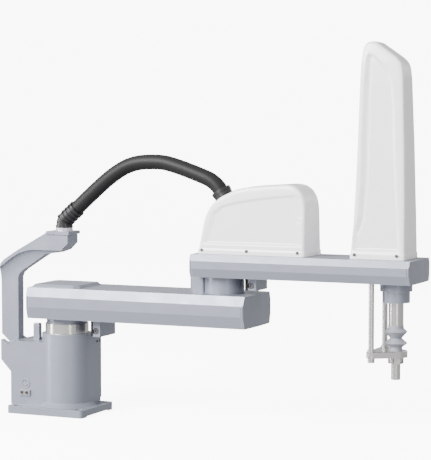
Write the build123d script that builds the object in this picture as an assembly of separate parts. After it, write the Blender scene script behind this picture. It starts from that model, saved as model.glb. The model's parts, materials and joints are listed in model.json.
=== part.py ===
"""Four-axis SCARA robot arm, one STEP file per separate piece.

Origin on the first axis at the base's mounting face. +X runs from the rear
cabinet to the tool, +Z is up, and both arms lie straight along +X. Millimetres.
"""
import math
import os

from build123d import *

# reach
LINK = 400.0
J2_X = LINK
TOOL_X = 2 * LINK

# base casting
PLATE = (-118.0, 80.0, 77.0, 17.5)
BOLT_X = (-98.0, 62.0)
BOLT_Y = 62.0
BOLT_R = 5.5
COLUMN_R = 58.0
COLUMN_TOP = 185.0
BORE_R = 46.2
FLANK_Y = 63.0
FLANK_TOP = 176.0
CABINET_Y = 50.0
CABINET_REAR = -122.0
CABINET_TOP = 164.5
WING_X = -148.0
MAST_SEAT = 158.0

# first joint
RING_R = 50.0
RING_TOP = 208.0
NECK1_R = 47.0

# arms: start x, end x, edge half width, bulge, underside, top
ARM1 = (-64.0, 478.0, 70.4, 8.0, 222.4, 293.6)
ARM2 = (346.0, 851.0, 64.5, 7.0, 332.4, 382.4)
CAP = 5.0
CAP_BULGE = 3.0
NECK2_R = 44.0

# cable mast and its hose
MAST_HALF = 12.5
HEAD_HALF = 24.5
HOSE_R = 17.1
ELBOW_X = -5.8
LIP_TOP = 420.4
ELBOW_PATH = [(-5.8, 428.0), (-5.8, 444.0), (28.9, 473.7)]
HOSE_LOWER = [(29.4, 474.2), (59.3, 501.2), (122.0, 553.2), (172.0, 579.0), (201.3, 581.0)]
HOSE_UPPER = [
    (201.3, 581.0), (240.0, 583.64), (284.0, 573.0), (330.0, 557.5), (377.5, 540.0), (391.5, 519.0),
]
FITTING = ((399.5, 507.0), (391.5, 519.0))

# tool end
SHAFT_R = 10.0
RUNNING = 0.05
SHAFT_BOTTOM = 124.2
SHAFT_TOP = 755.0
ROD_X = 760.0
ROD_Y = 44.0
ROD_R = 6.0
YOKE = (173.0, 187.0)

# drives
Z_MOTOR_X = 500.0
R_MOTOR_X = 572.0
NUT_R = 27.0
MOTOR_PULLEY_R = 15.0
Z_BELT = (342.0, 352.0)
R_BELT = (360.0, 370.0)


def box(x0, x1, y0, y1, z0, z1):
    """A box between two corners."""
    centre = Pos((x0 + x1) / 2, (y0 + y1) / 2, (z0 + z1) / 2)
    return centre * Box(x1 - x0, y1 - y0, z1 - z0)


def post(x, y, z0, z1, radius):
    """A solid upright cylinder."""
    return Pos(x, y, (z0 + z1) / 2) * Cylinder(radius, z1 - z0)


def ring(x, y, z0, z1, outer, inner):
    """An upright cylinder with a through bore."""
    return post(x, y, z0, z1, outer) - post(x, y, z0 - 1, z1 + 1, inner)


def side_prism(points, y0, y1):
    """A profile drawn in XZ, thick from y0 to y1."""
    wire = Polyline(*[(x, 0, z) for x, z in points], close=True)
    return Pos(0, y1, 0) * extrude(make_face(wire), amount=y1 - y0, dir=(0, -1, 0))


def end_prism(points, x0, x1):
    """A profile drawn in YZ, long from x0 to x1."""
    wire = Polyline(*[(x0, y, z) for y, z in points], close=True)
    return extrude(make_face(wire), amount=x1 - x0, dir=(1, 0, 0))


def rod(start, end, radius):
    """A cylinder between two points in space."""
    a = Vector(*start)
    b = Vector(*end)
    middle = (a + b) * 0.5
    plane = Plane(origin=middle, z_dir=b - a)
    return plane * Cylinder(radius, (b - a).length)


def upright(shape, corner):
    """Round the upright corner edges of a block."""
    return fillet(shape.edges().filter_by(Axis.Z), corner)


def cap_screw(seat, out, head_r, head_h, shank):
    """A socket-head screw whose head stands on a seat and points along out."""
    seat = Vector(*seat)
    out = Vector(*out).normalized()
    head = rod(tuple(seat), tuple(seat + out * head_h), head_r)
    body = rod(tuple(seat - out * shank), tuple(seat), head_r * 0.55)
    socket = rod(tuple(seat + out * head_h * 0.4), tuple(seat + out * (head_h + 1)), head_r * 0.5)
    return head + body - socket


def cap_hole(seat, out, head_r, shank):
    """The clearance hole that a cap screw's shank needs."""
    seat = Vector(*seat)
    out = Vector(*out).normalized()
    return rod(tuple(seat - out * (shank + 0.5)), tuple(seat + out * 0.5), head_r * 0.55 + 0.1)


def tube_path(points):
    """Straight runs in XZ joined by tangent arcs, and the arc radii used."""
    radii = []
    for before, here, after in zip(points, points[1:], points[2:]):
        run_in = math.dist(before, here)
        run_out = math.dist(here, after)
        heading_in = math.atan2(here[1] - before[1], here[0] - before[0])
        heading_out = math.atan2(after[1] - here[1], after[0] - here[0])
        turn = abs(heading_out - heading_in)
        radii.append(0.45 * min(run_in, run_out) / math.tan(turn / 2))
    return FilletPolyline(*[(x, 0, z) for x, z in points], radius=radii), radii


def tube(name, points, radius, bore=0.0):
    """A round hose swept along its path."""
    path, radii = tube_path(points)
    plane = Plane(origin=path @ 0, z_dir=path % 0)
    shape = sweep(plane * Circle(radius), path=path)
    if bore:
        shape -= sweep(plane * Circle(bore), path=path)
    section = math.pi * (radius ** 2 - bore ** 2)
    print(name, "radii", [round(r, 1) for r in radii], "length", round(path.length, 1))
    print(name, "volume", round(shape.volume), "section x length", round(section * path.length))
    return shape


def arm_profile(half, bulge, low, high, inset=0.0):
    """The six-sided arm section: two long flats and three facets each side."""
    tall = high - low
    shoulder = high - tall * 0.287
    waist = low + tall * 0.377
    half -= inset
    edge = half + bulge
    upper = high - inset
    lower = low + inset
    side = [(half, upper), (edge, shoulder), (edge, waist), (half, lower)]
    return side + [(-y, z) for y, z in reversed(side)]


def arm_tube(spec, wall):
    """The hollow extrusion between the two end caps."""
    x0, x1, half, bulge, low, high = spec
    outer = end_prism(arm_profile(half, bulge, low, high), x0 + CAP, x1 - CAP)
    inner = end_prism(arm_profile(half, bulge, low, high, wall), x0, x1)
    return outer - inner


def arm_cap(spec, front):
    """An end cap, bowed slightly outwards in plan."""
    x0, x1, half, bulge, low, high = spec
    edge = half + bulge
    bow_r = (edge ** 2 + CAP_BULGE ** 2) / (2 * CAP_BULGE)
    middle = (low + high) / 2
    section = arm_profile(half, bulge, low, high)
    if front:
        slab = end_prism(section, x1 - CAP, x1 + CAP_BULGE)
        bow = Pos(x1 + CAP_BULGE - bow_r, 0, middle) * Cylinder(bow_r, high - low + 20)
    else:
        slab = end_prism(section, x0 - CAP_BULGE, x0 + CAP)
        bow = Pos(x0 - CAP_BULGE + bow_r, 0, middle) * Cylinder(bow_r, high - low + 20)
    cap = slab & bow
    return chamfer(cap.edges().filter_by(Axis.Z), 1.5)


def save(name, shape):
    export_step(shape, f"parts/{name}.step")


os.makedirs("parts", exist_ok=True)


# ---------------------------------------------------------------- base
x0, x1, half, thick = PLATE
plate = upright(box(x0, x1, -half, half, 0, thick), 9)
for side in (x0, x1):
    plate -= box(side - 12, side + 12, 24 - half, half - 24, -1, 2.5)
column = post(0, 0, thick, COLUMN_TOP, COLUMN_R)
column += Pos(0, 0, thick + 4.5) * Cone(COLUMN_R + 9, COLUMN_R, 9)
flank = box(-40, COLUMN_R, 0, FLANK_Y, thick, FLANK_TOP)
flank = fillet(flank.edges().filter_by(Axis.Z).sort_by(Axis.X)[-2:].sort_by(Axis.Y)[-1:], 6)
cabinet_side = [
    (CABINET_REAR, thick), (CABINET_REAR, 93), (WING_X, 120), (WING_X, 167),
    (-126, 154), (CABINET_REAR, CABINET_TOP), (0, CABINET_TOP), (0, thick),
]
cabinet = side_prism(cabinet_side, -CABINET_Y, CABINET_Y)
cabinet -= box(WING_X - 1, CABINET_REAR, -34, 34, MAST_SEAT, 170)
cabinet += box(WING_X, CABINET_REAR + 6, -34, 34, 140, MAST_SEAT)
base = plate + column + flank + cabinet
base -= post(0, 0, 8, COLUMN_TOP + 1, BORE_R)
base -= box(-114, -30, -42, 42, 8, 150)
base -= box(CABINET_REAR - 1, -113, -34, 34, 26, 84)
for x in BOLT_X:
    for y in (-BOLT_Y, BOLT_Y):
        base -= post(x, y, -1, 30, BOLT_R)
        base -= post(x, y, 11.5, 30, 9)

# cast earth symbol and the raised terminal block below it
symbol_x = -82.0
symbol_z = 67.5
face = -CABINET_Y
symbol = rod((symbol_x, face + 0.5, symbol_z), (symbol_x, face - 1.5, symbol_z), 11)
symbol -= rod((symbol_x, face + 1, symbol_z), (symbol_x, face - 2, symbol_z), 9.4)
symbol += box(symbol_x - 0.8, symbol_x + 0.8, face - 1.5, face + 0.5, symbol_z, symbol_z + 8)
for drop, width in ((0, 6.5), (2.8, 4.2), (5.6, 2.0)):
    bar_z = symbol_z - drop
    bar = box(symbol_x - width, symbol_x + width, face - 1.5, face + 0.5, bar_z - 0.8, bar_z + 0.8)
    symbol += bar
terminal = box(-97, -70, face - 4, face + 0.5, 40, 53)
base = base + symbol + terminal
EARTH = [(x, face - 4, 47.0) for x in (-90.0, -77.5)]
for seat in EARTH:
    base -= cap_hole(seat, (0, -1, 0), 3.2, 6)
PANEL = [(CABINET_REAR - 2, y, z) for y in (-38, 38) for z in (26, 84)]
for seat in PANEL:
    base -= cap_hole(seat, (-1, 0, 0), 2.6, 7)
FLANK = [(COLUMN_R, y, 163.0) for y in (38.0, 52.0)]
for seat in FLANK:
    base -= cap_hole(seat, (1, 0, 0), 2.6, 7)
save("base_casting", base)

panel = box(CABINET_REAR - 2, CABINET_REAR, -43, 43, 21, 89)
for seat in PANEL:
    panel -= cap_hole(seat, (-1, 0, 0), 2.6, 7)
panel -= box(CABINET_REAR - 3, CABINET_REAR + 1, -30, 4, 56, 78)
panel -= rod((CABINET_REAR - 3, 22, 66), (CABINET_REAR + 1, 22, 66), 10)
AIR_Y = (-6, 11, 28)
for y in AIR_Y:
    panel -= rod((CABINET_REAR - 3, y, 38), (CABINET_REAR + 1, y, 38), 4)
save("rear_panel", panel)

power = box(CABINET_REAR - 6, CABINET_REAR - 2, -33, 7, 53, 81)
power = fillet(power.edges().filter_by(Axis.X), 3)
power += box(CABINET_REAR - 2, CABINET_REAR + 9, -29, 3, 57, 77)
power -= box(CABINET_REAR - 7, CABINET_REAR + 6, -26, 0, 60, 74)
save("power_connector", power)

signal = rod((CABINET_REAR - 2, 22, 66), (CABINET_REAR - 20, 22, 66), 12)
signal -= rod((CABINET_REAR - 10, 22, 66), (CABINET_REAR - 21, 22, 66), 9)
signal += rod((CABINET_REAR + 8, 22, 66), (CABINET_REAR - 4, 22, 66), 9.8)
save("signal_connector", signal)

fittings = Compound(children=[
    rod((CABINET_REAR - 2, y, 38), (CABINET_REAR - 17, y, 38), 6)
    + rod((CABINET_REAR + 6, y, 38), (CABINET_REAR - 3, y, 38), 3.8)
    - rod((CABINET_REAR - 6, y, 38), (CABINET_REAR - 18, y, 38), 3)
    for y in AIR_Y
])
save("air_fittings", fittings)

screws = [cap_screw(seat, (-1, 0, 0), 2.6, 2.4, 6) for seat in PANEL]
screws += [cap_screw(seat, (1, 0, 0), 2.6, 1.5, 6) for seat in FLANK]
save("base_screws", Compound(children=screws))
save("earth_screws", Compound(children=[cap_screw(s, (0, -1, 0), 3.2, 2.2, 5) for s in EARTH]))

stop_post = box(-86.4, -71.3, -6.5, 6.5, CABINET_TOP, 203.5)
save("j1_stop_post", fillet(stop_post.edges().group_by(Axis.Z)[-1], 2.5))

# mast: one strap profile at the head's full width, hollowed to a thin strap
# below a crease that runs level under the head and then down the slope
outer_line = [(-168, 176), (-168, 328), (-163, 342), (-153, 352), (-118, 374), (-46, 413.5)]
head_line = [(-42, 416.5), (15.5, 416.5), (15.5, 393), (-2, 376)]
inner_line = [(-18, 370), (-38, 367.3), (-48, 366.5), (-110, 327), (-119, 319), (-123, 309)]
foot_line = [(-123, MAST_SEAT), (-148, MAST_SEAT)]
mast = side_prism(outer_line + head_line + inner_line + foot_line, -HEAD_HALF, HEAD_HALF)
mast -= box(-180, 0, MAST_HALF, 30, 150, 290) + box(-180, 0, -30, -MAST_HALF, 150, 290)

crease_z = 376.0
turn_x = -68.0
turn_r = 115.0
turn = math.radians(35)


def on_turn(angle):
    """A point on the crease's downward turn."""
    return (turn_x - turn_r * math.sin(angle), 0, crease_z - turn_r * (1 - math.cos(angle)))


crease_end = on_turn(turn)
crease_tail = (crease_end[0] - 110 * math.cos(turn), 0, crease_end[2] - 110 * math.sin(turn))
crease = Wire([
    Line((60, 0, crease_z), (turn_x, 0, crease_z)).edge(),
    ThreePointArc((turn_x, 0, crease_z), on_turn(turn / 2), crease_end).edge(),
    Line(crease_end, crease_tail).edge(),
])
hollow = []
for step in range(9):
    angle = math.radians(90 * step / 8)
    reach = MAST_HALF + (HEAD_HALF - MAST_HALF) * (1 - math.cos(angle))
    hollow.append((reach, 34 * (1 - math.sin(angle))))
hollow += [(30, 0), (30, 100), (MAST_HALF, 100)]
start_plane = Plane(origin=(60, 0, crease_z), x_dir=(0, 1, 0), z_dir=(-1, 0, 0))
for side in (-1, 1):
    section = make_face(Polyline(*[(side * y, drop) for y, drop in hollow], close=True))
    mast -= sweep(start_plane * section, path=crease)
mast += box(-39, 20, -28, 28, 413.2, LIP_TOP)
mast -= post(ELBOW_X, 0, 396, LIP_TOP + 1, 12)
save("cable_mast", mast)


save("hose_adapter", ring(ELBOW_X, 0, LIP_TOP, 428, 19.5, 12))

elbow = tube("hose_elbow", ELBOW_PATH, 18.3, 12)
elbow += ring(ELBOW_X, 0, 428, 434, 20, 12)
elbow_line = tube_path(ELBOW_PATH)[0]
for share in (0.3, 0.47, 0.64, 0.81, 0.96):
    spot = elbow_line @ share
    ahead = elbow_line % share
    rib = rod(tuple(spot - ahead * 1.6), tuple(spot + ahead * 1.6), 20.3)
    rib -= rod(tuple(spot - ahead * 3), tuple(spot + ahead * 3), 15)
    elbow += rib
save("hose_elbow", elbow)

save("j1_ring", ring(0, 0, COLUMN_TOP, RING_TOP, RING_R, 34))
save("j1_reducer", ring(0, 0, 160, COLUMN_TOP, 46, 29) + ring(0, 0, 156, 160, 46, 20))
motor1 = box(-31, 31, -31, 31, 40, 150) + post(0, 0, 150, 156, 46)
motor1 -= post(0, 0, 148, 157, 8)
save("j1_motor", upright(motor1, 3))
save("j1_rotor", post(0, 0, 149, 164, 7) + post(0, 0, 164, 180, 28.7))


# ---------------------------------------------------------------- arm 1
low1 = ARM1[4]
top1 = ARM1[5]
save("j1_neck", ring(0, 0, RING_TOP + 0.3, low1, NECK1_R, 20))

arm1 = arm_tube(ARM1, 5)
arm1 -= post(0, 0, low1 - 1, low1 + 8, 20)
arm1 -= box(-50, 50, -45, 45, top1 - 8, top1 + 1)
arm1 -= post(J2_X, 0, top1 - 8, top1 + 1, 20)
save("arm1_extrusion", arm1)
save("arm1_cap_rear", arm_cap(ARM1, False))
save("arm1_cap_front", arm_cap(ARM1, True))

cover = box(-62, 62, -62, 62, top1, top1 + 6.5)
cover = chamfer(cover.edges().filter_by(Axis.Z), 12)
cover = chamfer(cover.edges().group_by(Axis.Z)[-1], 5.5)
save("arm1_cover", cover)


def stop_block(centre, strip, outer, half, low, high, bolt):
    """A moving hard stop under an arm, with slots for two rubbers."""
    block = box(centre + strip[0], centre + outer, -half, half, low, high)
    block = chamfer(block.edges().group_by(Axis.Z)[0], 1.5)
    for side in (-1, 1):
        block -= box(
            centre + strip[0] - 1, centre + strip[1],
            min(side * half * 1.1, side * (half - 4)), max(side * half * 1.1, side * (half - 4)),
            low - 1, high + 1,
        )
        face_y = side * half
        block -= rod((bolt[0], face_y + side, bolt[1]), (bolt[0], face_y - side * 5, bolt[1]), bolt[2])
        seat = (bolt[0], face_y - side * 5, bolt[1])
        block -= cap_hole(seat, (0, side, 0), bolt[3], 12)
    return block


def stop_rubbers(centre, strip, half, low, high):
    """The two rubber strips a moving stop lands on."""
    pads = []
    for side in (-1, 1):
        inside = side * (half - 4)
        outside = side * (half + 0.6)
        pad = box(
            centre + strip[0], centre + strip[1], min(inside, outside), max(inside, outside), low, high
        )
        pads.append(pad)
    return Compound(children=pads)


def stop_bolts(bolt, half):
    """The recessed bolt in each side of a moving stop."""
    return Compound(children=[
        cap_screw((bolt[0], side * (half - 5), bolt[1]), (0, side, 0), bolt[3], 3.4, 11)
        for side in (-1, 1)
    ])


J1_BOLT = (95.5, 196.0, 8.2, 6.2)
J1_STRIP = (83.0, 88.0)
save("j1_stop_block", stop_block(0, J1_STRIP, 106, 38, 182.5, low1, J1_BOLT))
save("j1_stop_bumper", stop_rubbers(0, J1_STRIP, 38, 184, low1 - 1))
save("j1_stop_bolts", stop_bolts(J1_BOLT, 38))

fixed_stop = box(320, 359, -20, 20, top1, 327.5)
fixed_stop = chamfer(fixed_stop.edges().filter_by(Axis.Z).group_by(Axis.X)[0], 11)
fixed_stop = chamfer(fixed_stop.edges().filter_by(Axis.Z).group_by(Axis.X)[-1], 4)
fixed_stop -= post(J2_X, 0, top1 - 1, 330, NECK2_R + 1)
save("j2_fixed_stop", fixed_stop)

save("hose_lower", tube("hose_lower", HOSE_LOWER, HOSE_R, 12))
save("hose_upper", tube("hose_upper", HOSE_UPPER, HOSE_R, 12))


# ---------------------------------------------------------------- arm 2
low2 = ARM2[4]
top2 = ARM2[5]
save("j2_neck", ring(J2_X, 0, top1 + 0.3, low2, NECK2_R, 30))

J2_BOLT = (J2_X + 77.0, 314.5, 7.6, 5.8)
J2_STRIP = (63.0, 70.0)
save("j2_stop_block", stop_block(J2_X, J2_STRIP, 89, 32, 303, low2, J2_BOLT))
save("j2_stop_bumper", stop_rubbers(J2_X, J2_STRIP, 32, 304, low2 - 1))
save("j2_stop_bolts", stop_bolts(J2_BOLT, 32))

arm2 = arm_tube(ARM2, 4)
arm2 -= post(J2_X, 0, low2 - 1, top2 + 1, 28)
arm2 -= post(TOOL_X, 0, low2 - 1, low2 + 6, 17)
arm2 -= post(TOOL_X, 0, top2 - 6, top2 + 1, 28.5)
for y in (-ROD_Y, ROD_Y):
    arm2 -= post(ROD_X, y, low2 - 1, low2 + 6, ROD_R)
for x in (Z_MOTOR_X, R_MOTOR_X):
    arm2 -= post(x, 0, top2 - 6, top2 + 1, 17)
arm2 -= box(430, 465, -30, 30, top2 - 6, top2 + 1)
save("arm2_extrusion", arm2)
save("arm2_cap_rear", arm_cap(ARM2, False))
save("arm2_cap_front", arm_cap(ARM2, True))

WALL = 3.0


def hood_body(inset):
    """The low cover's outline: side profile, end profile and rounded plan."""
    t = inset
    side = [
        (355 + t, top2 - (20 if t else 0)), (358 + t, 400), (370 + t, 462), (376 + t, 478 - t),
        (388 + t, 492 - t), (408, 505 - t), (444, 523 - t), (482, 530 - t), (560, 536 - t),
        (586, 537 - t), (597 - t / 2, 534 - t), (604 - t, 526 - t), (608 - t, 512 - t),
        (610 - t, 485), (611 - t, top2 - (20 if t else 0)),
    ]
    ends = [(52 - t, 362), (52 - t, 395), (45 - t, 510 - t), (43 - t, 520 - t), (38 - t, 527 - t)]
    ends += [(30 - t, 531.5 - t), (16, 535.5 - t), (0, 537 - t)]
    loop = ends + [(-y, z) for y, z in reversed(ends[:-1])]
    plan = Pos((355 + 611) / 2, 0, 340) * RectangleRounded(256 - 2 * t, 104 - 2 * t, 16 - t)
    body = side_prism(side, -60, 60) & end_prism(loop, 340, 630)
    return body & extrude(plan, amount=220)


hood = hood_body(0) - hood_body(WALL)
hood -= rod((FITTING[0][0] + 12, 0, FITTING[0][1] - 18), (FITTING[1][0], 0, FITTING[1][1]), 17)
COVER_HEAD = 3.4
HOOD_SCREWS = [(x, side * 52, 391.5) for x in (368, 475, 594) for side in (-1, 1)]


def tower_body(inset):
    """The tall cover's outline: leaning side profile and tapering ends."""
    t = inset
    foot = top2 - (20 if t else 0)
    side = [
        (708 + t, foot), (711 + t, 400), (715.5 + t, 460), (719.5 + t, 550), (722.5 + t, 640),
        (725 + t, 740), (727 + t, 795), (730 + t, 818 - t), (736 + t, 832 - t), (744, 839.5 - t),
        (753, 841.5 - t), (763, 838.5 - t), (806 - t / 2, 807.5 - t), (815 - t, 799 - t),
        (821 - t, 787 - t), (824 - t, 765), (829 - t, 620), (832 - t, 480), (834 - t, foot),
    ]
    ends = [(46.5 - t, 362), (46.5 - t, 396), (41.5 - t, 510), (38 - t, 635), (34.5 - t, 755)]
    ends += [(32 - t, 800), (27 - t, 822 - t), (18 - t, 835 - t), (7, 841 - t), (0, 842 - t)]
    loop = ends + [(-y, z) for y, z in reversed(ends[:-1])]
    body = side_prism(side, -60, 60) & end_prism(loop, 690, 850)
    plan = Pos((708 + 834) / 2, 0, 340) * RectangleRounded(126 - 2 * t, 93 - 2 * t, 16 - t)
    return body & extrude(plan, amount=520)


tower = tower_body(0) - tower_body(WALL)
TOWER_SCREWS = [(x, side * 46.5, 392) for x in (722, 816) for side in (-1, 1)]
for seat in HOOD_SCREWS:
    hood -= cap_hole(seat, (0, seat[1], 0), COVER_HEAD, 6)
for seat in TOWER_SCREWS:
    tower -= cap_hole(seat, (0, seat[1], 0), COVER_HEAD, 6)
save("hood_cover", hood)
save("tower_cover", tower)
save("arm2_screws", Compound(children=[
    cap_screw(seat, (0, seat[1], 0), COVER_HEAD, 1.6, 5) for seat in HOOD_SCREWS + TOWER_SCREWS
]))

lower_point = (FITTING[0][0], 0, FITTING[0][1])
upper_point = (FITTING[1][0], 0, FITTING[1][1])
lean = (Vector(*upper_point) - Vector(*lower_point)).normalized()
fitting = rod(lower_point, upper_point, 21.5)
fitting += rod(tuple(Vector(*upper_point) - lean * 5), tuple(Vector(*upper_point) + lean * 2), 22.6)
fitting += rod(tuple(Vector(*lower_point) - lean * 16), lower_point, 16.8)
fitting -= rod(tuple(Vector(*lower_point) - lean * 20), tuple(Vector(*upper_point) + lean * 3), 12)
fitting -= rod(upper_point, tuple(Vector(*upper_point) + lean * 4), HOSE_R + 0.2)
save("hose_connector", fitting)


def motor(x, size, low, high, shaft_r):
    """A square servo motor standing on the arm with its shaft hole below."""
    half = size / 2
    body = upright(box(x - half, x + half, -half, half, low + 6, high), 3)
    body += post(x, 0, low, low + 6, half)
    return body - post(x, 0, low - 1, low + 12, shaft_r + RUNNING)


save("j2_motor", motor(J2_X, 50, top2, 452, 6))
save("z_motor", motor(Z_MOTOR_X, 58, top2, 500, 6))
save("r_motor", motor(R_MOTOR_X, 50, top2, 480, 6))
save("j2_rotor", post(J2_X, 0, 318, 330, 26) + post(J2_X, 0, 330, top2 + 10, 6))


def belt(x, span, pulley_r):
    """A toothed belt looped round a motor pulley and a nut pulley."""
    low, high = span
    loops = []
    for extra in (1.8, 0.0):
        small = Pos(x, 0, low) * Circle(pulley_r + extra)
        large = Pos(TOOL_X, 0, low) * Circle(NUT_R + extra)
        loops.append(extrude(make_hull(small.edges() + large.edges()), amount=high - low))
    return loops[0] - loops[1]


save("z_belt", belt(Z_MOTOR_X, Z_BELT, MOTOR_PULLEY_R))
save("r_belt", belt(R_MOTOR_X, R_BELT, MOTOR_PULLEY_R))


def motor_pulley(x, span):
    """A flanged pulley on a motor shaft."""
    low, high = span
    wheel = post(x, 0, low - 0.2, high, MOTOR_PULLEY_R - 0.1) + post(x, 0, low - 1.6, low - 0.2, 17)
    return wheel + post(x, 0, high, top2 + 10, 6)


def nut_pulley(span, low, high):
    """A nut running on the shaft with its belt pulley rim."""
    wheel = post(TOOL_X, 0, low, high, 22) + post(TOOL_X, 0, span[0], span[1], NUT_R - 0.1)
    return wheel - post(TOOL_X, 0, low - 1, high + 1, SHAFT_R + RUNNING)


save("z_motor_pulley", motor_pulley(Z_MOTOR_X, Z_BELT))
save("r_motor_pulley", motor_pulley(R_MOTOR_X, R_BELT))
save("z_nut_pulley", nut_pulley(Z_BELT, 338, 356))
save("r_nut_pulley", nut_pulley(R_BELT, 358, 376))

housing = ring(TOOL_X, 0, 314, low2, 34.6, 16)
housing += ring(TOOL_X, 0, 289.7, 314, 29.5, 16)
housing -= ring(TOOL_X, 0, 311.5, 313, 31, 29)
save("flange_housing", housing)
save("guide_sleeve", ring(TOOL_X, 0, 234, 336, 16, 11))
rods = [post(ROD_X, y, 163.4, 376, ROD_R) for y in (-ROD_Y, ROD_Y)]
save("guide_rods", Compound(children=rods))

yoke_circles = [Pos(TOOL_X, 0, YOKE[0]) * Circle(25)]
yoke_circles += [Pos(ROD_X, y, YOKE[0]) * Circle(10.5) for y in (-ROD_Y, ROD_Y)]
outline = make_hull([edge for circle in yoke_circles for edge in circle.edges()])
yoke = extrude(outline, amount=YOKE[1] - YOKE[0])
yoke = chamfer(yoke.edges().group_by(Axis.Z)[-1], 1.2)
yoke -= post(TOOL_X, 0, 170, 190, SHAFT_R + RUNNING)
for y in (-ROD_Y, ROD_Y):
    yoke -= post(ROD_X, y, 170, 190, ROD_R)
save("yoke_plate", yoke)
nuts = [ring(ROD_X, y, 163.4, YOKE[0], 7.6, ROD_R) for y in (-ROD_Y, ROD_Y)]
nuts += [ring(ROD_X, y, YOKE[1], YOKE[1] + 4, 8.4, ROD_R) for y in (-ROD_Y, ROD_Y)]
save("rod_collars", Compound(children=nuts))

skin = [
    (16.9, 241), (16.9, 234.6), (24.8, 227.2), (12.6, 213.7), (24.8, 202.6), (15.2, 195.4),
    (13.8, 194), (13.8, YOKE[1]), (12.4, YOKE[1]), (12.4, 194.6), (22.6, 202.6), (11.2, 213.7),
    (22.6, 227.2), (15.5, 233.9), (16, 234), (16, 241),
]
bellows_face = make_face(Polyline(*[(r, 0, z) for r, z in skin], close=True))
save("shaft_bellows", Pos(TOOL_X, 0, 0) * revolve(bellows_face, Axis.Z))


# ---------------------------------------------------------------- tool shaft
shaft = post(TOOL_X, 0, SHAFT_BOTTOM, SHAFT_TOP, SHAFT_R)
shaft = chamfer(shaft.edges().group_by(Axis.Z)[0], 0.8)
shaft -= post(TOOL_X, 0, SHAFT_BOTTOM - 1, SHAFT_TOP + 1, 4)
shaft -= ring(TOOL_X, 0, 156.2, 157.4, SHAFT_R + 1, SHAFT_R - 0.6)
save("tool_shaft", shaft)
save("shaft_top_bearing", ring(TOOL_X, 0, 741, SHAFT_TOP - 1, 16, SHAFT_R + RUNNING))
clamp = ring(TOOL_X, 0, 159.5, 172.5, 16.8, SHAFT_R)
clamp = clamp + box(TOOL_X + 6, TOOL_X + 16, -17, -11, 159.5, 172.5)
clamp -= post(TOOL_X, 0, 158, 174, SHAFT_R)
clamp -= box(TOOL_X - 1, TOOL_X + 1, -20, 0, 158, 174)
clamp -= rod((TOOL_X - 4, -13.4, 166), (TOOL_X + 30, -13.4, 166), 2.1)
save("shaft_clamp", clamp)
save("clamp_screw", cap_screw((TOOL_X + 16, -13.4, 166), (1, 0, 0), 3.4, 3.0, 18))
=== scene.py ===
"""How the four-axis SCARA robot arm looks. Metres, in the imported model's frame."""
import json
import math

import bmesh
import bpy
import numpy as np
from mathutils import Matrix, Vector


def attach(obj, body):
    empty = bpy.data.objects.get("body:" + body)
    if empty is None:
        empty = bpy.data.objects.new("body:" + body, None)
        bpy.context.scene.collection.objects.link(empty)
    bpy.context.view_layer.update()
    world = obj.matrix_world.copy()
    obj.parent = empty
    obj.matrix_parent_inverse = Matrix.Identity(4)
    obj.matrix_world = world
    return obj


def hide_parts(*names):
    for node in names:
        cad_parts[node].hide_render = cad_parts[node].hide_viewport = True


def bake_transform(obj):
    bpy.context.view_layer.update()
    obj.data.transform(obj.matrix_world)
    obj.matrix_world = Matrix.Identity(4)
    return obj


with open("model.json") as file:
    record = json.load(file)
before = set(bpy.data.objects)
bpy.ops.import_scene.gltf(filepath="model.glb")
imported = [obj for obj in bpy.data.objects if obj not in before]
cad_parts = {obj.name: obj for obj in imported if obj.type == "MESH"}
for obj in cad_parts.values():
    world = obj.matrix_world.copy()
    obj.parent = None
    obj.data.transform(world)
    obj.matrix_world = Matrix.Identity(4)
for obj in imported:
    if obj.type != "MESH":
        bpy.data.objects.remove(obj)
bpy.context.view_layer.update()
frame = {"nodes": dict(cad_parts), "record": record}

MM = 0.001

# camera
CAMERA_AT = (2.0299, -3.6217, 0.6914)
CAMERA_YAW = 24.524
CAMERA_DIP = 3.722
CAMERA_LENS = 140.656

# hose route in the XZ plane, the same points as in the CAD
HOSE_R = 0.0171
HOSE_LOWER = [(29.4, 474.2), (59.3, 501.2), (122.0, 553.2), (172.0, 579.0), (201.3, 581.0)]
HOSE_UPPER = [
    (201.3, 581.0), (240.0, 583.64), (284.0, 573.0), (330.0, 557.5), (377.5, 540.0), (391.5, 519.0),
]
HOSE_STEP = 0.0022
HOSE_SIDES = 40

# white covers, in millimetres: rows of (position, value)
COVER_WALL = 2.6
COVER_CELL = 2.0
COVER_SEAT = 382.4
HOOD_REAR = [(380, 356.5), (400, 359), (462, 370.5), (478, 376), (500, 386)]
HOOD_FRONT = [
    (380, 609.5), (485, 609), (500, 607), (512, 603.5), (524, 597), (533, 588), (540, 576),
]
HOOD_ROOF = [
    (355, 444), (376, 481), (388, 495), (408, 508.5), (444, 525.5), (482, 532.5), (560, 538),
    (582, 538), (595, 535), (604, 529), (612, 518),
]
HOOD_HALF = [(380, 50.5), (395, 50.5), (510, 44.2), (545, 41.5)]
HOOD_PANEL = [
    (371, 404), (376, 429), (383, 453), (392, 474), (411, 489.5), (447, 499.5), (506, 508.5),
    (564, 515), (590, 516), (596.5, 506), (601, 404),
]
HOOD_RECESS = 3.6
TOWER_REAR = [
    (380, 709.5), (400, 711.5), (425, 713), (460, 716), (550, 720), (640, 723), (740, 725.5),
    (795, 727.5), (830, 732), (850, 740),
]
TOWER_FRONT = [(380, 833), (480, 832), (620, 829), (765, 824), (850, 816)]
TOWER_ROOF = [(720, 843), (744, 843), (753, 843), (763, 840), (806, 810), (840, 783)]
TOWER_HALF = [
    (380, 45.0), (396, 45.0), (510, 40.3), (635, 37), (755, 33.6), (800, 31.5), (845, 27),
]
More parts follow.
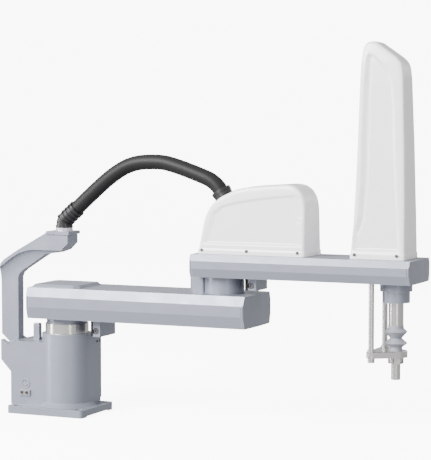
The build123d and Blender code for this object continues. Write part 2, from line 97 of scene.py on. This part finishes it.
TOWER_PANEL = [
    (716, 398), (716, 425), (728, 470), (731, 508), (734, 561), (734, 621), (736, 700),
    (738.5, 779), (741, 812), (749, 819), (759, 814), (779, 797), (794, 778), (802, 752),
    (806, 710), (809, 622), (811, 588), (814, 536), (818, 484), (821, 431), (822, 398),
]
TOWER_RECESS = 4.4
TOWER_SWOOSH = [
    (398, 690), (418, 698), (424, 712), (428, 720), (437, 730), (455, 738.5), (482, 743),
    (522, 746.5), (574, 749), (614, 750), (700, 750.5), (773, 751.5), (800, 751),
]
SWOOSH_STEP = 1.6
LIP_RISE = 1.6
EDGE_BLEND = 3.2

# room: area lights as (name, at, aim, size, watts)
LIGHTS = [
    ("key_front_left", (-1.3, -3.1, 2.3), (0.35, 0, 0.3), (2.0, 2.0), 480),
    ("strip_left", (-2.6, -1.4, 0.8), (0.0, 0, 0.25), (0.4, 2.2), 60),
    ("strip_right", (2.3, -2.3, 0.7), (0.5, 0, 0.35), (0.25, 1.8), 14),
    ("rim_back_right", (2.2, 2.2, 1.6), (0.4, 0, 0.5), (1.6, 1.2), 12),
]
SKY_BRIGHT_SIDE = (-0.55, -0.80, 0.22)
SKY_DARK = 0.72
SKY_BRIGHT = 1.15
FLOOR_REACH = 60.0
FLOOR_BACK = 5.0
COVE_RADIUS = 2.0
COVE_STEPS = 8
BACKDROP_TOP = 9.0
FLOOR_GLOW = 8.0


# ---------------------------------------------------------------- materials
class Finish:
    """A procedural material, built up from small named steps."""

    def __init__(self, name, colour, roughness, metallic=0.0, coat=0.0, specular=0.5):
        self.material = bpy.data.materials.new(name)
        self.material.use_nodes = True
        self.nodes = self.material.node_tree.nodes
        self.links = self.material.node_tree.links
        self.shader = self.nodes["Principled BSDF"]
        self.colour = colour
        self.shader.inputs["Base Color"].default_value = (*colour, 1)
        self.shader.inputs["Roughness"].default_value = roughness
        self.shader.inputs["Metallic"].default_value = metallic
        self.shader.inputs["Coat Weight"].default_value = coat
        self.shader.inputs["Coat Roughness"].default_value = 0.12
        self.shader.inputs["Specular IOR Level"].default_value = specular
        self.bump_out = None

    def node(self, kind, **inputs):
        made = self.nodes.new(kind)
        for key, value in inputs.items():
            made.inputs[key.replace("_", " ")].default_value = value
        return made

    def place(self, stretch=(1, 1, 1), source="Object"):
        """Texture coordinates, stretched along the axes."""
        coords = self.nodes.new("ShaderNodeTexCoord")
        mapping = self.nodes.new("ShaderNodeMapping")
        mapping.inputs["Scale"].default_value = stretch
        self.links.new(coords.outputs[source], mapping.inputs["Vector"])
        return mapping.outputs["Vector"]

    def noise(self, scale, detail=3.0, rough=0.55, stretch=(1, 1, 1), source="Object"):
        made = self.node("ShaderNodeTexNoise", Scale=scale, Detail=detail, Roughness=rough)
        self.links.new(self.place(stretch, source), made.inputs["Vector"])
        return made.outputs["Fac"]

    def ramp(self, value, low, high, start, end):
        """Map a value between two limits onto two numbers."""
        made = self.nodes.new("ShaderNodeMapRange")
        made.inputs["From Min"].default_value = low
        made.inputs["From Max"].default_value = high
        made.inputs["To Min"].default_value = start
        made.inputs["To Max"].default_value = end
        self.links.new(value, made.inputs["Value"])
        return made.outputs["Result"]

    def tint(self, value, other, low=0.35, high=0.65, strength=1.0):
        """Blend the base colour towards another where a value is high."""
        made = self.nodes.new("ShaderNodeMix")
        made.data_type = "RGBA"
        current = self.shader.inputs["Base Color"]
        if current.is_linked:
            self.links.new(current.links[0].from_socket, made.inputs["A"])
        else:
            made.inputs["A"].default_value = (*self.colour, 1)
        made.inputs["B"].default_value = (*other, 1)
        self.links.new(self.ramp(value, low, high, 0, strength), made.inputs["Factor"])
        self.links.new(made.outputs["Result"], current)
        return self

    def vary_roughness(self, value, start, end, low=0.3, high=0.7):
        self.links.new(self.ramp(value, low, high, start, end), self.shader.inputs["Roughness"])
        return self

    def bump(self, value, distance, strength=1.0):
        made = self.node("ShaderNodeBump", Strength=strength, Distance=distance)
        self.links.new(value, made.inputs["Height"])
        if self.bump_out is not None:
            self.links.new(self.bump_out, made.inputs["Normal"])
        self.bump_out = made.outputs["Normal"]
        self.links.new(self.bump_out, self.shader.inputs["Normal"])
        return self

    def paint_edge_highlight(self, other, radius, strength):
        """Paint light along the edges, found by rounding the normals: a painted highlight with a
        lighter colour, painted shade with a darker one.
        """
        bevel = self.nodes.new("ShaderNodeBevel")
        bevel.samples = 4
        bevel.inputs["Radius"].default_value = radius
        geometry = self.nodes.new("ShaderNodeNewGeometry")
        dot = self.nodes.new("ShaderNodeVectorMath")
        dot.operation = "DOT_PRODUCT"
        self.links.new(bevel.outputs["Normal"], dot.inputs[0])
        self.links.new(geometry.outputs["Normal"], dot.inputs[1])
        return self.tint(dot.outputs["Value"], other, 0.995, 0.9, strength)


def enamel():
    """Silver-grey satin enamel over cast and extruded aluminium."""
    made = Finish("enamel_silver", (0.225, 0.24, 0.292), 0.34, metallic=0.3)
    made.tint(made.noise(9, 4), (0.208, 0.222, 0.27), 0.4, 0.7, 0.5)
    made.tint(made.noise(420, 2), (0.26, 0.275, 0.328), 0.52, 0.75, 0.35)
    made.vary_roughness(made.noise(30, 3), 0.32, 0.42)
    made.bump(made.noise(900, 2), 0.00006, 0.5)
    made.bump(made.noise(180, 2), 0.00012, 0.35)
    # painted highlight: every edge is lightened towards a pale blue-grey
    made.paint_edge_highlight((0.62, 0.63, 0.67), 0.001, 0.55)
    return made.material


def white_gloss():
    """White moulded cover, glossy with a faint orange peel."""
    made = Finish("cover_white", (0.90, 0.90, 0.915), 0.24, coat=0.35)
    made.tint(made.noise(7, 3), (0.87, 0.87, 0.89), 0.4, 0.7, 0.5)
    made.vary_roughness(made.noise(22, 3), 0.20, 0.30)
    made.bump(made.noise(260, 2), 0.00005, 0.4)
    return made.material


def ground_steel(name, colour, roughness):
    """Ground steel with fine marks round its axis."""
    made = Finish(name, colour, roughness, metallic=0.9)
    rings = made.noise(12, 4, 0.6, (1, 1, 90))
    made.tint(rings, tuple(c * 0.92 for c in colour), 0.35, 0.7, 0.5)
    made.vary_roughness(rings, roughness - 0.04, roughness + 0.06)
    made.bump(rings, 0.000004, 0.3)
    made.tint(made.noise(14, 3), tuple(c * 0.9 for c in colour), 0.5, 0.8, 0.4)
    return made.material


def moulded(name, colour, roughness, grain=600, depth=0.00008, specular=0.5):
    """Moulded plastic or rubber with a fine grain."""
    made = Finish(name, colour, roughness, specular=specular)
    made.tint(made.noise(12, 3), tuple(min(1, c * 1.35 + 0.001) for c in colour), 0.45, 0.75, 0.5)
    made.vary_roughness(made.noise(40, 3), roughness - 0.08, roughness + 0.08)
    made.bump(made.noise(grain, 3), depth, 0.6)
    # painted highlight: every edge is lightened towards a paler tint of the colour
    made.paint_edge_highlight(tuple(min(1, c * 1.7 + 0.003) for c in colour), 0.0006, 0.3)
    return made.material


def braid():
    """Braided hose sleeve: two crossing sets of slanting strands."""
    made = Finish("hose_braid", (0.0085, 0.0085, 0.009), 0.50, specular=0.2)
    height = None
    for lean in (1, -1):
        wave = made.nodes.new("ShaderNodeTexWave")
        wave.wave_type = "BANDS"
        wave.bands_direction = "X"
        wave.inputs["Scale"].default_value = 1.0
        wave.inputs["Distortion"].default_value = 0.0
        coords = made.nodes.new("ShaderNodeTexCoord")
        mapping = made.nodes.new("ShaderNodeMapping")
        mapping.inputs["Rotation"].default_value = (0, 0, lean * math.radians(38))
        mapping.inputs["Scale"].default_value = (95, 95, 1)
        made.links.new(coords.outputs["UV"], mapping.inputs["Vector"])
        made.links.new(mapping.outputs["Vector"], wave.inputs["Vector"])
        if height is None:
            height = wave.outputs["Fac"]
        else:
            join = made.nodes.new("ShaderNodeMath")
            join.operation = "MAXIMUM"
            made.links.new(height, join.inputs[0])
            made.links.new(wave.outputs["Fac"], join.inputs[1])
            height = join.outputs["Value"]
    made.bump(height, 0.0002, 0.25)
    made.tint(height, (0.015, 0.015, 0.0155), 0.5, 1.0, 0.8)
    made.tint(made.noise(25, 3), (0.013, 0.013, 0.0135), 0.5, 0.8, 0.4)
    return made.material


MATERIALS = {
    "body": enamel(),
    "white": white_gloss(),
    "steel": ground_steel("steel_ground", (0.60, 0.59, 0.575), 0.2),
    "steel_dark": ground_steel("steel_oiled", (0.18, 0.18, 0.185), 0.38),
    "screw": ground_steel("screw_zinc", (0.13, 0.13, 0.135), 0.34),
    "zinc": ground_steel("nickel_shell", (0.55, 0.55, 0.55), 0.3),
    "panel": ground_steel("panel_sheet", (0.62, 0.63, 0.64), 0.42),
    "light_metal": ground_steel("anodised_light", (0.66, 0.67, 0.71), 0.36),
    "brass": ground_steel("brass_turned", (0.13, 0.105, 0.06), 0.36),
    "rubber": moulded("rubber_black", (0.005, 0.005, 0.0055), 0.7, 350, 0.0001, 0.3),
    "charcoal": moulded("nylon_charcoal", (0.009, 0.009, 0.010), 0.34, 500, 0.00006),
    "black_plastic": moulded("plastic_black", (0.010, 0.010, 0.011), 0.45),
    "blue_plastic": moulded("plastic_blue", (0.03, 0.09, 0.30), 0.4),
    "motor": moulded("powder_black", (0.011, 0.011, 0.012), 0.5, 300, 0.00015),
    "belt": moulded("belt_rubber", (0.015, 0.015, 0.016), 0.65),
    "bellows": moulded("bellows_grey", (0.27, 0.28, 0.32), 0.30, 400, 0.00008),
    "hose": braid(),
}

SLOT_OF = {part["node"]: part["material_slot"] for part in frame["record"]["subparts"]}


def dress(node, slot, bevel):
    """Give a CAD node its material and soften its sharp edges."""
    shown = frame["nodes"][node]
    shown.data.materials.clear()
    shown.data.materials.append(MATERIALS[slot])
    soften = shown.modifiers.new("soft_edges", "BEVEL")
    soften.width = bevel
    soften.segments = 2
    soften.limit_method = "ANGLE"
    soften.angle_limit = math.radians(38)


CRISP = {"base_screws", "earth_screws", "arm2_screws", "air_fittings", "shaft_clamp", "clamp_screw"}
SOFT = {
    "base_casting": 1.6, "cable_mast": 1.3, "arm1_extrusion": 1.5, "arm2_extrusion": 1.3,
    "arm1_cap_front": 1.2, "arm1_cap_rear": 1.2, "arm2_cap_front": 1.1, "arm2_cap_rear": 1.1,
    "arm1_cover": 0.9, "j1_stop_post": 1.0, "j1_stop_block": 1.0, "j2_stop_block": 1.0,
    "j2_fixed_stop": 1.0, "j1_neck": 0.6, "j2_neck": 0.8, "flange_housing": 0.9,
}
CRISP_BEVEL = 0.12
PLAIN_BEVEL = 0.35
for node, slot in SLOT_OF.items():
    dress(node, slot, SOFT.get(node, CRISP_BEVEL if node in CRISP else PLAIN_BEVEL) * MM)


# ---------------------------------------------------------------- covers
def link(mesh, name):
    """Put a mesh into the scene as an object."""
    made = bpy.data.objects.new(name, mesh)
    bpy.context.scene.collection.objects.link(made)
    return made


def ease(value):
    """Smooth step from 0 to 1."""
    value = np.clip(value, 0, 1)
    return value * value * (3 - 2 * value)


def soft_max(values, radius):
    """The largest of several fields, blended over a radius."""
    stack = np.stack(values) / radius
    top = stack.max(axis=0)
    return radius * (top + np.log(np.exp(stack - top).sum(axis=0)))


def inside_depth(x, z, outline):
    """How deep points lie inside an outline, negative outside."""
    loop = np.array(outline)
    nearest = np.full(x.shape, 1e9)
    inside = np.zeros(x.shape, bool)
    for (x0, z0), (x1, z1) in zip(loop, np.roll(loop, -1, axis=0)):
        run, climb = x1 - x0, z1 - z0
        share = ((x - x0) * run + (z - z0) * climb) / (run ** 2 + climb ** 2)
        along = np.clip(share, 0, 1)
        nearest = np.minimum(nearest, np.hypot(x - x0 - along * run, z - z0 - along * climb))
        crosses = (z0 > z) != (z1 > z)
        rise = climb if z1 != z0 else 1e-9
        inside ^= crosses & (x < x0 + (z - z0) * run / rise)
    return np.where(inside, nearest, -nearest)


def lookup(position, rows):
    """A value that changes with position, from (position, value) rows."""
    positions, values = zip(*rows)
    return np.interp(position, positions, values)


def hood_field(p):
    """Below zero inside the low cover, millimetres."""
    x, y, z = p.T
    rear = lookup(z, HOOD_REAR) - x
    front = x - lookup(z, HOOD_FRONT)
    roof = z - lookup(x, HOOD_ROOF)
    outline = soft_max([rear, front, roof], 6.0)
    half = lookup(z, HOOD_HALF)
    half = half - HOOD_RECESS * ease(inside_depth(x, z, HOOD_PANEL) / 6.0)
    lip = ease((394.2 - z) / LIP_RISE)
    half = half + 1.4 * lip
    outline = outline - 1.4 * lip
    return soft_max([outline, np.abs(y) - half], EDGE_BLEND)


def tower_field(p):
    """Below zero inside the tall cover, millimetres."""
    x, y, z = p.T
    rear = lookup(z, TOWER_REAR) - x
    front = x - lookup(z, TOWER_FRONT)
    roof = z - lookup(x, TOWER_ROOF)
    outline = soft_max([rear, front, roof], 5.0)
    half = lookup(z, TOWER_HALF)
    depth = inside_depth(x, z, TOWER_PANEL)
    half = half - TOWER_RECESS * ease(depth / 8.0)
    swoosh = lookup(z, TOWER_SWOOSH)
    within_panel = ease(depth / 3.0) * ease((800 - z) / 60)
    half = half - SWOOSH_STEP * ease((swoosh - x) / 2.8) * within_panel
    lip = ease((395.6 - z) / LIP_RISE)
    half = half + 1.2 * lip
    outline = outline - 1.0 * lip
    return soft_max([outline, np.abs(y) - half], EDGE_BLEND)


def shell(name, field, box, centre, node, body):
    """A moulded shell: a fine box pushed outwards along rays until it meets the field."""
    (x0, x1), half, (z0, z1) = box
    limits = [(x0, x1), (-half, half), (z0, z1)]
    counts = [max(2, round((high - low) / COVER_CELL)) for low, high in limits]
    axes = [np.linspace(low, high, count + 1) for (low, high), count in zip(limits, counts)]
    index = {}
    points = []
    faces = []

    def corner(i, j, k):
        if (i, j, k) not in index:
            index[(i, j, k)] = len(points)
            points.append((axes[0][i], axes[1][j], axes[2][k]))
        return index[(i, j, k)]

    def quad(*places):
        faces.append([corner(*place) for place in places])

    nx, ny, nz = counts
    for k in range(nz):
        for i in range(nx):
            quad((i, 0, k), (i + 1, 0, k), (i + 1, 0, k + 1), (i, 0, k + 1))
            quad((i + 1, ny, k), (i, ny, k), (i, ny, k + 1), (i + 1, ny, k + 1))
        for j in range(ny):
            quad((0, j + 1, k), (0, j, k), (0, j, k + 1), (0, j + 1, k + 1))
            quad((nx, j, k), (nx, j + 1, k), (nx, j + 1, k + 1), (nx, j, k + 1))
    for i in range(nx):
        for j in range(ny):
            quad((i, j, nz), (i + 1, j, nz), (i + 1, j + 1, nz), (i, j + 1, nz))
    start = np.array(points)
    at_foot = start[:, 2] <= z0 + 1e-6
    middle = np.empty_like(start)
    middle[:, 0] = centre[0]
    middle[:, 1] = 0
    middle[:, 2] = np.clip(start[:, 2], z0, centre[1])
    ray = start - middle
    near = np.zeros(len(start))
    far = np.full(len(start), 2.5)
    for _ in range(34):
        share = (near + far) / 2
        within = field(middle + ray * share[:, None]) < 0
        near = np.where(within, share, near)
        far = np.where(within, far, share)
    placed = middle + ray * near[:, None]
    placed[at_foot, 2] = z0
    mesh = bpy.data.meshes.new(name)
    mesh.from_pydata([tuple(p * MM) for p in placed], [], faces)
    mesh.update()
    for face in mesh.polygons:
        face.use_smooth = True
    made = link(mesh, name)
    thick = made.modifiers.new("wall", "SOLIDIFY")
    thick.thickness = COVER_WALL * MM
    thick.offset = -1
    mesh.materials.append(MATERIALS["white"])
    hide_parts(node)
    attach(made, body)


HOOD_BOX = ((357, 609), 50, (COVER_SEAT, 536))
TOWER_BOX = ((712, 832), 44, (COVER_SEAT, 840))
shell("hood_shell", hood_field, HOOD_BOX, (490, 480), "hood_cover", "arm2")
shell("tower_shell", tower_field, TOWER_BOX, (772, 790), "tower_cover", "arm2")


# ---------------------------------------------------------------- hose
def spline_points(name, route):
    """Points read along a NURBS spline that has the route as control points."""
    line = bpy.data.curves.new(name + "_line", "CURVE")
    line.dimensions = "3D"
    line.resolution_u = 24
    spline = line.splines.new("NURBS")
    spline.points.add(len(route) - 1)
    for point, (x, z) in zip(spline.points, route):
        point.co = (x * MM, 0, z * MM, 1)
    spline.order_u = 3
    spline.use_endpoint_u = True
    carrier = bpy.data.objects.new(name + "_line", line)
    traced = bpy.data.meshes.new_from_object(carrier)
    points = [v.co.copy() for v in traced.vertices]
    bpy.data.objects.remove(carrier)
    bpy.data.curves.remove(line)
    bpy.data.meshes.remove(traced)
    return points


def even(points, step):
    """The same line with points a step apart."""
    total = sum((b - a).length for a, b in zip(points, points[1:]))
    count = max(2, round(total / step))
    made = [points[0].copy()]
    target = total / count
    travelled = 0.0
    for a, b in zip(points, points[1:]):
        span = (b - a).length
        while travelled + span >= target * len(made) and len(made) < count:
            share = (target * len(made) - travelled) / span
            made.append(a.lerp(b, share))
        travelled += span
    made.append(points[-1].copy())
    return made, total


def hose_mesh(name, route):
    """A closed tube round the route, with lengthwise coordinates for the braid."""
    points, length = even(spline_points(name, route), HOSE_STEP)
    mesh = bpy.data.meshes.new(name)
    work = bmesh.new()
    uv = work.loops.layers.uv.new("UVMap")
    rings = []
    for i, point in enumerate(points):
        ahead = points[min(i + 1, len(points) - 1)] - points[max(i - 1, 0)]
        ahead.normalize()
        side = Vector((0, 1, 0))
        up = ahead.cross(side)
        ring = []
        for j in range(HOSE_SIDES):
            angle = 2 * math.pi * j / HOSE_SIDES
            out = side * math.cos(angle) + up * math.sin(angle)
            ring.append(work.verts.new(point + out * HOSE_R))
        rings.append(ring)
    step = length / (len(points) - 1)
    girth = 2 * math.pi * HOSE_R / HOSE_SIDES
    for i, (low, high) in enumerate(zip(rings, rings[1:])):
        for j in range(HOSE_SIDES):
            k = (j + 1) % HOSE_SIDES
            face = work.faces.new((low[j], low[k], high[k], high[j]))
            face.smooth = True
            for loop, (u, v) in zip(face.loops, ((i, j), (i, j + 1), (i + 1, j + 1), (i + 1, j))):
                loop[uv].uv = (u * step, v * girth)
    for cap in (rings[0], list(reversed(rings[-1]))):
        for edge in work.faces.new(cap).edges:
            edge.smooth = False
    bmesh.ops.recalc_face_normals(work, faces=work.faces)
    work.to_mesh(mesh)
    work.free()
    made = link(mesh, name)
    mesh.materials.append(MATERIALS["hose"])
    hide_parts(name.replace("_sleeve", ""))
    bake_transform(made)


hose_mesh("hose_lower_sleeve", HOSE_LOWER)
hose_mesh("hose_upper_sleeve", HOSE_UPPER)


# ---------------------------------------------------------------- room
def floor():
    """A pale floor that sweeps up into a backdrop far behind."""
    mesh = bpy.data.meshes.new("floor")
    work = bmesh.new()
    profile = [(-FLOOR_REACH, 0.0), (FLOOR_BACK, 0.0)]
    for step in range(1, COVE_STEPS + 1):
        angle = math.radians(90 * step / COVE_STEPS)
        back = FLOOR_BACK + COVE_RADIUS * math.sin(angle)
        profile.append((back, COVE_RADIUS - COVE_RADIUS * math.cos(angle)))
    profile.append((FLOOR_BACK + COVE_RADIUS, BACKDROP_TOP))
    rows = [[work.verts.new((x, y, z)) for x in (-FLOOR_REACH, FLOOR_REACH)] for y, z in profile]
    for low, high in zip(rows, rows[1:]):
        work.faces.new((low[0], low[1], high[1], high[0])).smooth = True
    work.to_mesh(mesh)
    work.free()
    made = link(mesh, "floor")
    made.rotation_euler = (0, 0, math.radians(CAMERA_YAW))
    finish = Finish("floor_paper", (0.88, 0.88, 0.885), 0.8)
    finish.tint(finish.noise(1.5, 2), (0.86, 0.86, 0.865), 0.4, 0.7, 0.4)
    finish.shader.inputs["Emission Color"].default_value = (1, 1, 1, 1)
    finish.shader.inputs["Emission Strength"].default_value = FLOOR_GLOW
    mesh.materials.append(finish.material)
    made.visible_diffuse = False
    made.visible_glossy = False


def softbox(name, at, aim, size, power):
    """A rectangular area light aimed at a point."""
    light = bpy.data.lights.new(name, "AREA")
    light.shape = "RECTANGLE"
    light.size, light.size_y = size
    light.energy = power
    made = bpy.data.objects.new(name, light)
    made.location = at
    made.rotation_euler = (Vector(aim) - Vector(at)).to_track_quat("-Z", "Y").to_euler()
    bpy.context.scene.collection.objects.link(made)


floor()
for lamp in LIGHTS:
    softbox(*lamp)

world = bpy.data.worlds.new("studio")
bpy.context.scene.world = world
world.use_nodes = True
sky = world.node_tree
background = sky.nodes["Background"]
direction = sky.nodes.new("ShaderNodeTexCoord")
aim = sky.nodes.new("ShaderNodeVectorMath")
aim.operation = "DOT_PRODUCT"
aim.inputs[1].default_value = Vector(SKY_BRIGHT_SIDE).normalized()
sky.links.new(direction.outputs["Generated"], aim.inputs[0])
fall = sky.nodes.new("ShaderNodeMapRange")
fall.interpolation_type = "SMOOTHSTEP"
fall.inputs["From Min"].default_value = -0.7
fall.inputs["From Max"].default_value = 0.9
fall.inputs["To Min"].default_value = SKY_DARK
fall.inputs["To Max"].default_value = SKY_BRIGHT
sky.links.new(aim.outputs["Value"], fall.inputs["Value"])
sky.links.new(fall.outputs["Result"], background.inputs["Strength"])
background.inputs["Color"].default_value = (1, 1, 1, 1)

lens = bpy.data.cameras.new("camera")
lens.lens = CAMERA_LENS
lens.sensor_width = 36
lens.clip_end = 60
camera = bpy.data.objects.new("camera", lens)
camera.location = CAMERA_AT
camera.rotation_euler = (math.radians(90 - CAMERA_DIP), 0, math.radians(CAMERA_YAW))
bpy.context.scene.collection.objects.link(camera)
bpy.context.scene.camera = camera
